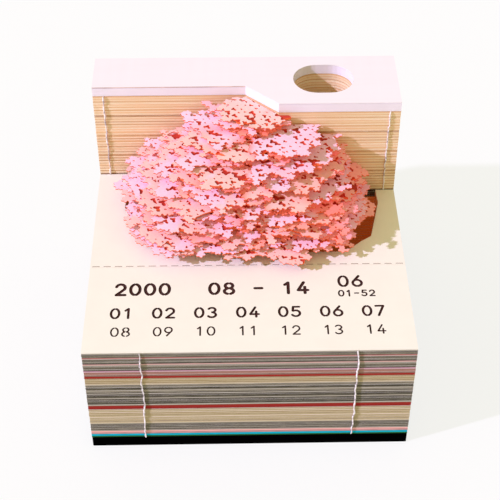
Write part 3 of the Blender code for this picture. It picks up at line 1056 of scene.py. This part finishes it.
SIX = [
    [(0.44, 1.0)] + arc(0.31, 0.31, 0.31, 0.31, 152, 258),
    arc(0.31, 0.31, 0.31, 0.31, -78, 108),
]
NUMERALS = {
    "0": [arc(0.31, 0.5, 0.31, 0.5, 104, 256), arc(0.31, 0.5, 0.31, 0.5, -76, 76)],
    "1": [[(0.12, 0.80), (0.34, 1.0), (0.34, 0.0)]],
    "2": [arc(0.31, 0.69, 0.29, 0.31, 165, -32) + [(0.04, 0.0), (0.62, 0.0)]],
    "3": [arc(0.29, 0.76, 0.27, 0.24, 150, -82), arc(0.29, 0.25, 0.31, 0.26, 78, -150)],
    "4": [
        [(0.40, 1.0), (0.02, 0.27), (0.34, 0.27)],
        [(0.47, 0.56), (0.47, 0.0)],
        [(0.60, 0.27), (0.66, 0.27)],
    ],
    "5": [[(0.56, 1.0), (0.10, 1.0), (0.06, 0.58)] + arc(0.28, 0.31, 0.32, 0.31, 122, -150)],
    "6": SIX,
    "7": [[(0.02, 1.0), (0.60, 1.0), (0.20, 0.0)]],
    "8": [
        arc(0.31, 0.76, 0.25, 0.24, 110, 250),
        arc(0.31, 0.76, 0.25, 0.24, -70, 70),
        arc(0.31, 0.25, 0.31, 0.26, 110, 250),
        arc(0.31, 0.25, 0.31, 0.26, -70, 70),
    ],
    "9": half_turn(SIX),
    "-": [[(0.08, 0.5), (0.54, 0.5)]],
    " ": [],
}


def strip_numbers():
    """Text, middle, height and stroke width of each plain number."""
    yield "2000", HEADER_LEFT_X, HEADER_Y, *HEADER_SIZE
    yield "08 - 14", HEADER_MIDDLE_X, HEADER_Y, *HEADER_SIZE
    yield "06", CORNER_UPPER_X, HEADER_Y + CORNER_OFFSET, *CORNER_UPPER_SIZE
    yield "01-52", CORNER_LOWER_X, HEADER_Y - CORNER_OFFSET, *CORNER_LOWER_SIZE
    for column in range(COLUMNS):
        x = COLUMN_START + COLUMN_PITCH * column
        yield f"{column + 1:02d}", x, DAY_Y, *DAY_SIZE
        yield f"{FIRST_DATE + column:02d}", x, DATE_Y, *DATE_SIZE


def numeral_loops(text, x, y, height, stroke):
    """Outlines of a row of stencil numerals."""
    width = height * (NUMERAL_ADVANCE * (len(text) - 1) + NUMERAL_WIDTH)
    margin = NUMERAL_MARGIN * NUMERAL_STEP
    columns = int((NUMERAL_ROOM * height + 2 * stroke) / NUMERAL_STEP) + 2 * NUMERAL_MARGIN + 1
    rows = int((height + 2 * stroke) / NUMERAL_STEP) + 2 * NUMERAL_MARGIN + 1
    loops = []
    for index, letter in enumerate(text):
        left = x - width / 2 + height * NUMERAL_ADVANCE * index
        front = y - height / 2
        start_x = left - stroke - margin
        start_y = front - stroke - margin
        grid_x = start_x + NUMERAL_STEP * np.arange(columns)
        grid_y = start_y + NUMERAL_STEP * np.arange(rows)
        gx, gy = np.meshgrid(grid_x, grid_y)
        near = np.full(gx.shape, FAR)
        for line in NUMERALS[letter]:
            for (ax, ay), (bx, by) in zip(line, line[1:]):
                px, py = left + ax * height, front + ay * height
                dx, dy = (bx - ax) * height, (by - ay) * height
                part = np.clip(((gx - px) * dx + (gy - py) * dy) / (dx * dx + dy * dy), 0, 1)
                near = np.minimum(near, np.hypot(gx - px - part * dx, gy - py - part * dy))
        found = contour_loops(stroke / 2 - near, start_x, start_y, NUMERAL_STEP)
        loops += [thinned(loop, NUMERAL_SLACK) for loop in found]
    return loops


def perforation_cuts():
    """The row of short cuts along the perforation, clockwise."""
    pitch = 2 * HALF / CUT_COUNT
    cuts = []
    for index in range(CUT_COUNT):
        left = -HALF + pitch * index + (pitch - CUT_LENGTH) / 2
        right = left + CUT_LENGTH
        low = PERFORATION_Y - CUT_WIDTH / 2
        high = PERFORATION_Y + CUT_WIDTH / 2
        cuts.append([(left, low), (left, high), (right, high), (right, low)])
    return cuts


def build_page():
    """The sheet round the tree, with the perforation's cuts along its front."""
    page = Sheets()
    front = STRIP_BACK + SHEET_AIR

    def side(ring, edge):
        if ring:
            return PAGE_CUT
        return PAGE_FACE if edge in SHEET_OUTSIDE else PAGE_SCORCHED

    filled = fill([sheet_outline(front)] + perforation_cuts())
    page.prism(filled, PAGE_BOTTOM, PAGE_TOP, PAGE_FACE, side)
    piece = page.build("sheet_week_page", (page_paper, scorch_tan, cut_brown))
    dress(piece, "week_page", "page_paper", "week_page", "perforation_web")


def strip_outline(back):
    """The strip from above, to its back edge."""
    return [(-HALF, -HALF), (HALF, -HALF), (HALF, back), (-HALF, back)]


def build_strip():
    """The date strip with plain numbers cut down to a floor, scorched brown and darkened as painted
    shade.

    Its back edge slopes, so that it clears the sheet when it folds.
    """
    strip = Sheets()
    numerals = [loop for number in strip_numbers() for loop in numeral_loops(*number)]
    outlines = [strip_outline(STRIP_BACK - CREASE)] + [loop[::-1] for loop in numerals]
    flat, triangles, rings = fill(outlines)
    floor = PAGE_BOTTOM + NUMERAL_FLOOR
    strip.points = [(x, y, PAGE_TOP) for x, y in flat]
    for triangle in triangles:
        strip.face(triangle, STRIP_FACE)
    low = len(strip.points)
    strip.points += [(x, y, PAGE_BOTTOM) for x, y in strip_outline(STRIP_BACK)]
    strip.face((low + 3, low + 2, low + 1, low), STRIP_FACE)
    corners = rings[0]
    for a in range(len(corners)):
        b = (a + 1) % len(corners)
        strip.face((low + a, low + b, corners[b], corners[a]), STRIP_FACE)
    deep = len(strip.points)
    strip.points += [(x, y, floor) for x, y in flat]
    for ring in rings[1:]:
        for a, b in zip(ring, ring[1:] + ring[:1]):
            strip.face((deep + a, deep + b, b, a), STRIP_NUMERAL)
    number = {place: index for index, place in enumerate(flat)}
    for loop in numerals:
        if signed_area(loop) > 0:
            inside = [other for other in numerals if signed_area(other) < 0 and holds(loop, other[0])]
            places, floor_triangles, _ = fill([loop] + inside)
            for triangle in floor_triangles:
                nearest = [number.get(places[corner]) for corner in triangle]
                if None not in nearest:
                    strip.face(tuple(deep + corner for corner in nearest), STRIP_NUMERAL)
    piece = strip.build("sheet_date_strip", (page_paper, numeral_scorch_and_shade))
    dress(piece, "date_strip", "page_paper", "date_strip")


# Glue and tree

# Lines of glue: share of the solid's thickness, and how they wander and thin out
BEAD_SHARE = 0.82
BEAD_STEP = 0.0007
BEAD_DRIFT = 0.00009
BEAD_RETURN = 0.2
BEAD_THINNEST = 0.45
BEADS = (
    "front_glue_bead_left",
    "front_glue_bead_right",
    "spine_glue_bead_left",
    "spine_glue_bead_right",
)


def build_beads():
    """Uneven lines of glue run up the front of the stack and of the spine."""
    dice = random.Random(BEAD_SEED)
    for node in BEADS:
        low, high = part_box(node)
        x = (low[0] + high[0]) / 2
        radius = (high[1] - low[1]) / 2
        back = high[1]
        count = int((high[2] - low[2]) / BEAD_STEP)
        curve = bpy.data.curves.new(f"line_{node}", "CURVE")
        curve.dimensions = "3D"
        curve.bevel_depth = BEAD_SHARE * radius
        curve.bevel_resolution = 2
        curve.use_fill_caps = True
        spline = curve.splines.new("POLY")
        spline.points.add(count - 1)
        drift = 0.0
        for index, point in enumerate(spline.points):
            part = index / (count - 1)
            drift += dice.gauss(0, BEAD_DRIFT) - BEAD_RETURN * drift
            swell = dice.uniform(BEAD_THINNEST, 1.0)
            z = low[2] + (high[2] - low[2]) * part
            point.co = (x + drift, back - BEAD_SHARE * radius * swell, z, 1.0)
            point.radius = swell
        curve.materials.append(bead_glue)
        piece = bpy.data.objects.new(f"line_{node}", curve)
        scene.collection.objects.link(piece)
        dress(piece, "pad", "padding_glue", node)


def build_tree():
    """The trunk's pads keep their solids, in brown paper."""
    for node in ("tree_roots", "trunk_lower", "trunk_upper", "branch_fork", "branch_spread"):
        slots = frame["nodes"][node].data.materials
        slots.clear()
        slots.append(bark)


# Stage


def build_stage():
    """A pale floor, soft sky light and one key light from the left.

    What is seen of the floor is mostly plain white, as in the photograph.
    """
    bpy.ops.mesh.primitive_plane_add(size=FLOOR_SIZE)
    floor = bpy.context.object
    floor.name = "floor"
    made = Shading("floor_white", FLOOR_WHITE, roughness=0.9)
    glow = made.add("ShaderNodeEmission")
    glow.inputs["Color"].default_value = (1.0, 1.0, 1.0, 1.0)
    path = made.add("ShaderNodeLightPath")
    seen = path.outputs["Is Camera Ray"]
    for kind in ("Is Glossy Ray", "Is Transmission Ray"):
        either = made.add("ShaderNodeMath", operation="MAXIMUM")
        made.link(seen, either.inputs[0])
        made.link(path.outputs[kind], either.inputs[1])
        seen = either.outputs[0]
    blend = made.add("ShaderNodeMixShader")
    made.link(made.scale(seen, FLOOR_SEEN), blend.inputs["Fac"])
    made.link(made.shader.outputs[0], blend.inputs[1])
    made.link(glow.outputs[0], blend.inputs[2])
    made.link(blend.outputs[0], made.tree.nodes["Material Output"].inputs["Surface"])
    floor.data.materials.append(made.material)

    world = bpy.data.worlds.new("studio")
    scene.world = world
    world.use_nodes = True
    sky = world.node_tree.nodes["Background"]
    sky.inputs["Color"].default_value = (*SKY_COLOUR, 1.0)
    sky.inputs["Strength"].default_value = SKY_STRENGTH

    sun = bpy.data.lights.new("key", "SUN")
    sun.energy = SUN_STRENGTH
    sun.color = SUN_COLOUR
    sun.angle = SUN_SPREAD
    lamp = bpy.data.objects.new("key", sun)
    lamp.rotation_euler = SUN_DIRECTION.to_track_quat("-Z", "Y").to_euler()
    scene.collection.objects.link(lamp)


def build_camera():
    """The camera at the photograph's place and angle."""
    lens = bpy.data.cameras.new("photo")
    lens.lens = CAMERA_LENS
    lens.sensor_width = CAMERA_SENSOR
    lens.clip_start = CAMERA_NEAR
    camera = bpy.data.objects.new("photo", lens)
    camera.location = CAMERA_PLACE
    forward = Vector((
        math.sin(CAMERA_AZIMUTH) * math.cos(CAMERA_DROP),
        math.cos(CAMERA_AZIMUTH) * math.cos(CAMERA_DROP),
        -math.sin(CAMERA_DROP),
    ))
    camera.rotation_euler = forward.to_track_quat("-Z", "Y").to_euler()
    scene.collection.objects.link(camera)
    scene.camera = camera


build_camera()
build_stage()
build_block()
build_spine()
build_page()
build_strip()
build_beads()
build_tree()
build_crown()
scene.view_settings.view_transform = "Standard"
